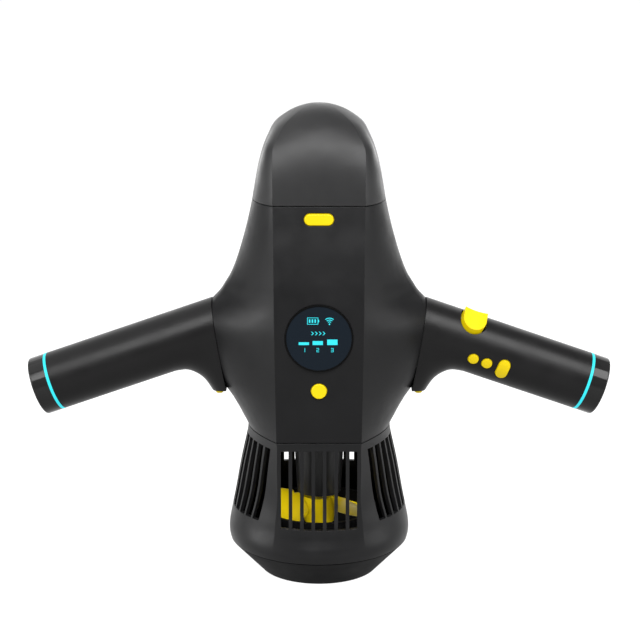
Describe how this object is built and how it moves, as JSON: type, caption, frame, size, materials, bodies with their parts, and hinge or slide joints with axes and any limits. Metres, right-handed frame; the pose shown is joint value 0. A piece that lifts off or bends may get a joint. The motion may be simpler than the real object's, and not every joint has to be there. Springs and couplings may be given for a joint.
{
  "type": "underwater scooter",
  "caption": "Hand-held underwater scooter: finned-slot intake duct with a propeller, faceted hull with a round display, two drooping grips with controls, and a pull-off battery nose.",
  "frame": {"origin": "centre of the flat end of the tail ring, on the surface it stands on", "axes": "+Z to the nose, -Y the side with the display, +X to the handle with the throttle"},
  "size_m": [0.4822, 0.1516, 0.3907],
  "materials": {
    "hull_plastic": "satin, fine moulded texture",
    "nose_plastic": "satin, fine moulded texture",
    "duct_plastic": "satin, fine moulded texture",
    "handle_plastic": "satin, soft-touch",
    "inner_plastic": "matt",
    "trim_black": "gloss",
    "cap_gloss": "gloss",
    "display_glass": "gloss, dark navy",
    "yellow_rubber": "satin",
    "yellow_gloss": "gloss",
    "light_ring": "glowing cyan",
    "seal_rubber": "matt",
    "steel": "brushed",
    "contact_brass": "polished",
    "heat_sink": "satin",
    "pod_metal": "black anodised",
    "motor_iron": "varnished",
    "cell_wrap": "shrink wrap",
    "circuit_board": "solder mask"
  },
  "bodies": {
    "hull": {"hull_front_shell": "hull_plastic", "hull_rear_shell": "hull_plastic", "hull_gasket": "seal_rubber", "hull_screws": "steel", "hull_bulkhead": "inner_plastic", "bulkhead_seal": "seal_rubber", "display_bezel": "trim_black", "display_lens": "display_glass", "display_module": "inner_plastic", "power_switch": "circuit_board", "control_board": "circuit_board", "electronics_tray": "inner_plastic", "motor_controller": "heat_sink", "battery_well": "inner_plastic", "well_contacts": "contact_brass", "duct_grille": "duct_plastic", "tail_ring": "duct_plastic", "bulkhead_screws": "steel", "motor_pod": "pod_metal", "motor_stator": "motor_iron", "motor_bearings": "steel", "shaft_seal": "seal_rubber", "handle_sockets": "inner_plastic"},
    "battery_pack": {"nose_shell": "nose_plastic", "battery_spigot": "inner_plastic", "battery_seal": "seal_rubber", "battery_cells": "cell_wrap", "cell_holders": "inner_plastic", "battery_board": "circuit_board", "pack_terminals": "contact_brass"},
    "left_handle": {"left_handle_shell": "handle_plastic", "left_handle_seal": "seal_rubber", "left_release_spring": "steel", "left_light_ring": "light_ring", "left_led_board": "circuit_board", "left_end_cap": "cap_gloss"},
    "right_handle": {"right_handle_shell": "handle_plastic", "right_handle_seal": "seal_rubber", "right_release_spring": "steel", "right_light_ring": "light_ring", "right_led_board": "circuit_board", "right_end_cap": "cap_gloss", "throttle_pin": "steel", "throttle_bracket": "inner_plastic", "throttle_spring": "steel", "throttle_sensor": "circuit_board", "button_board": "circuit_board"},
    "drive": {"propeller": "yellow_gloss", "propeller_nut": "yellow_gloss", "drive_pin": "steel", "motor_shaft": "steel", "motor_rotor": "motor_iron"},
    "throttle": {"throttle_lever": "yellow_rubber"},
    "power": {"power_button": "yellow_rubber"},
    "battery_release": {"battery_release_button": "yellow_rubber"},
    "left_release": {"left_release_button": "yellow_rubber"},
    "right_release": {"right_release_button": "yellow_rubber"},
    "speed_up": {"speed_up_button": "yellow_rubber"},
    "speed_down": {"speed_down_button": "yellow_rubber"},
    "lock": {"lock_button": "yellow_rubber"}
  },
  "joints": [
    {"name": "propeller_spin", "type": "hinge", "parent": "hull", "child": "drive", "pos_m": [0, 0, 0.05], "axis": [0, 0, 1], "continuous": true},
    {"name": "battery_pack_pull", "type": "slide", "parent": "hull", "child": "battery_pack", "axis": [0, 0, 1], "range_m": [0, 0.09]},
    {"name": "left_handle_pull", "type": "slide", "parent": "hull", "child": "left_handle", "axis": [-0.9455, 0, -0.3256], "range_m": [0, 0.06]},
    {"name": "right_handle_pull", "type": "slide", "parent": "hull", "child": "right_handle", "axis": [0.9455, 0, -0.3256], "range_m": [0, 0.06]},
    {"name": "throttle_squeeze", "type": "hinge", "parent": "right_handle", "child": "throttle", "pos_m": [0.12604, -0.00108, 0.21062], "axis": [0.9455, 0, -0.3256], "range_deg": [0, 7], "stiffness_Nm_per_rad": 0.4, "springref_deg": -5.73},
    {"name": "power_press", "type": "slide", "parent": "hull", "child": "power", "axis": [0, 1, 0], "range_m": [0, 0.0015], "stiffness_N_per_m": 400, "springref_m": -0.0008},
    {"name": "battery_release_press", "type": "slide", "parent": "hull", "child": "battery_release", "axis": [0, 1, 0], "range_m": [0, 0.002], "stiffness_N_per_m": 400, "springref_m": -0.0008},
    {"name": "left_release_press", "type": "slide", "parent": "left_handle", "child": "left_release", "axis": [0, 0, 1], "range_m": [0, 0.003], "stiffness_N_per_m": 300, "springref_m": -0.0008, "deforming": ["left_release_spring"]},
    {"name": "right_release_press", "type": "slide", "parent": "right_handle", "child": "right_release", "axis": [0, 0, 1], "range_m": [0, 0.003], "stiffness_N_per_m": 300, "springref_m": -0.0008, "deforming": ["right_release_spring"]},
    {"name": "speed_up_press", "type": "slide", "parent": "right_handle", "child": "speed_up", "axis": [0, 1, 0], "range_m": [0, 0.001], "stiffness_N_per_m": 300, "springref_m": -0.0008},
    {"name": "speed_down_press", "type": "slide", "parent": "right_handle", "child": "speed_down", "axis": [0, 1, 0], "range_m": [0, 0.001], "stiffness_N_per_m": 300, "springref_m": -0.0008},
    {"name": "lock_press", "type": "slide", "parent": "right_handle", "child": "lock", "axis": [0, 1, 0], "range_m": [0, 0.001], "stiffness_N_per_m": 300, "springref_m": -0.0008}
  ]
}
